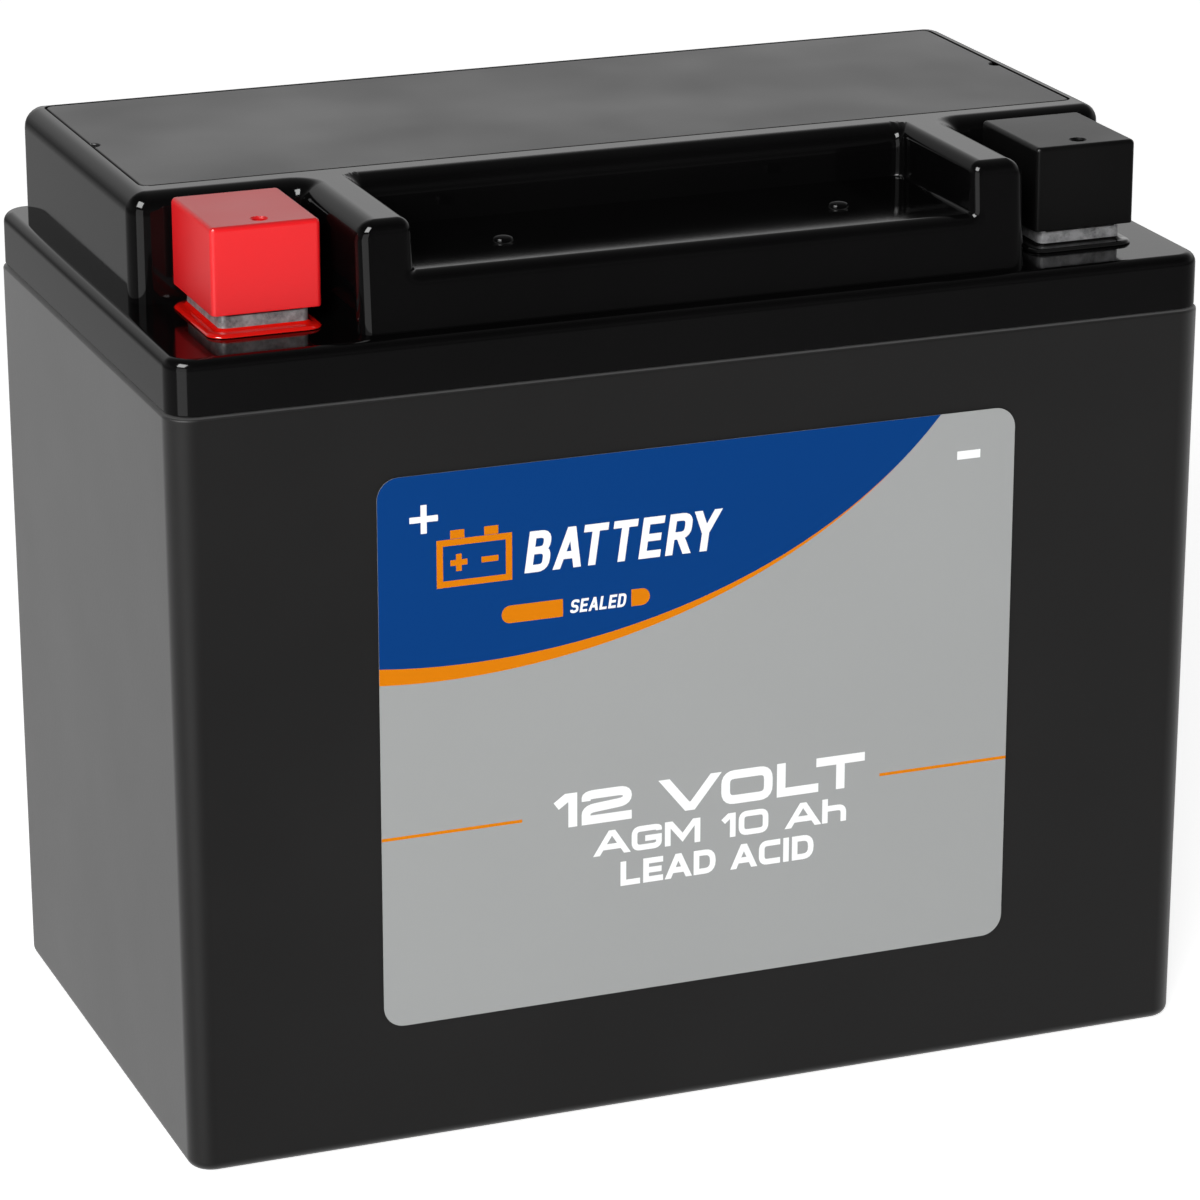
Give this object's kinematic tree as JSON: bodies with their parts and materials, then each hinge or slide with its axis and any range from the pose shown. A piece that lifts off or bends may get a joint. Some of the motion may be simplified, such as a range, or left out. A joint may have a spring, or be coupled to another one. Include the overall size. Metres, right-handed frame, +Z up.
{
  "type": "motorcycle battery",
  "caption": "Sealed lead-acid motorcycle battery with a stepped cover, lift-off terminal caps, bolted lead terminals, a flush vent cover over rubber valves, and plate groups inside.",
  "frame": {"origin": "middle of the footprint, on the surface the battery stands on", "axes": "+X along the length towards the negative terminal, -Y out of the labelled front, +Z up"},
  "size_m": [0.15, 0.0873, 0.13],
  "materials": {
    "shell_black": "semi-matte moulded polypropylene",
    "cover_black": "glossy moulded polypropylene",
    "plate_black": "satin moulded polypropylene",
    "valve_rubber": "moulded elastomer",
    "porous_white": "sintered porous disc",
    "lead": "cast lead alloy, satin",
    "zinc_steel": "zinc-plated steel",
    "cap_red": "satin red moulded plastic",
    "cap_black": "satin black moulded plastic",
    "seal_red": "glossy red casting resin",
    "seal_black": "glossy black casting resin",
    "ring_rubber": "moulded elastomer",
    "label_grey": "printed satin film",
    "plate_brown": "pasted positive plates",
    "plate_grey": "pasted negative plates",
    "glass_white": "absorbent glass mat"
  },
  "bodies": {
    "case": {"container": "shell_black", "cover": "cover_black", "flame_arrestor_left": "porous_white", "flame_arrestor_right": "porous_white", "positive_terminal": "lead", "positive_terminal_nut": "zinc_steel", "positive_terminal_bolt": "zinc_steel", "positive_terminal_seal": "seal_red", "positive_post_ring": "ring_rubber", "positive_post": "lead", "negative_terminal": "lead", "negative_terminal_nut": "zinc_steel", "negative_terminal_bolt": "zinc_steel", "negative_terminal_seal": "seal_black", "negative_post_ring": "ring_rubber", "negative_post": "lead", "label": "label_grey", "positive_plate_group_1": "plate_brown", "negative_plate_group_1": "plate_grey", "separator_pack_1": "glass_white", "positive_plate_group_2": "plate_brown", "negative_plate_group_2": "plate_grey", "separator_pack_2": "glass_white", "positive_plate_group_3": "plate_brown", "negative_plate_group_3": "plate_grey", "separator_pack_3": "glass_white", "positive_plate_group_4": "plate_brown", "negative_plate_group_4": "plate_grey", "separator_pack_4": "glass_white", "positive_plate_group_5": "plate_brown", "negative_plate_group_5": "plate_grey", "separator_pack_5": "glass_white", "positive_plate_group_6": "plate_brown", "negative_plate_group_6": "plate_grey", "separator_pack_6": "glass_white", "intercell_weld_1": "lead", "intercell_weld_2": "lead", "intercell_weld_3": "lead", "intercell_weld_4": "lead", "intercell_weld_5": "lead"},
    "positive_cap_body": {"positive_cap": "cap_red"},
    "negative_cap_body": {"negative_cap": "cap_black"},
    "vent_plate_body": {"vent_cover_plate": "plate_black"},
    "vent_valve_1_body": {"vent_valve_1": "valve_rubber"},
    "vent_valve_2_body": {"vent_valve_2": "valve_rubber"},
    "vent_valve_3_body": {"vent_valve_3": "valve_rubber"},
    "vent_valve_4_body": {"vent_valve_4": "valve_rubber"},
    "vent_valve_5_body": {"vent_valve_5": "valve_rubber"},
    "vent_valve_6_body": {"vent_valve_6": "valve_rubber"}
  },
  "joints": [
    {"name": "positive_cap_lift", "type": "slide", "parent": "case", "child": "positive_cap_body", "axis": [0, 0, 1], "range_m": [0, 0.025]},
    {"name": "negative_cap_lift", "type": "slide", "parent": "case", "child": "negative_cap_body", "axis": [0, 0, 1], "range_m": [0, 0.025]},
    {"name": "vent_plate_lift", "type": "slide", "parent": "case", "child": "vent_plate_body", "axis": [0, 0, 1], "range_m": [0, 0.03]},
    {"name": "vent_valve_1_lift", "type": "slide", "parent": "case", "child": "vent_valve_1_body", "axis": [0, 0, 1], "range_m": [0, 0.0008], "stiffness_N_per_m": 300},
    {"name": "vent_valve_2_lift", "type": "slide", "parent": "case", "child": "vent_valve_2_body", "axis": [0, 0, 1], "range_m": [0, 0.0008], "stiffness_N_per_m": 300},
    {"name": "vent_valve_3_lift", "type": "slide", "parent": "case", "child": "vent_valve_3_body", "axis": [0, 0, 1], "range_m": [0, 0.0008], "stiffness_N_per_m": 300},
    {"name": "vent_valve_4_lift", "type": "slide", "parent": "case", "child": "vent_valve_4_body", "axis": [0, 0, 1], "range_m": [0, 0.0008], "stiffness_N_per_m": 300},
    {"name": "vent_valve_5_lift", "type": "slide", "parent": "case", "child": "vent_valve_5_body", "axis": [0, 0, 1], "range_m": [0, 0.0008], "stiffness_N_per_m": 300},
    {"name": "vent_valve_6_lift", "type": "slide", "parent": "case", "child": "vent_valve_6_body", "axis": [0, 0, 1], "range_m": [0, 0.0008], "stiffness_N_per_m": 300}
  ]
}
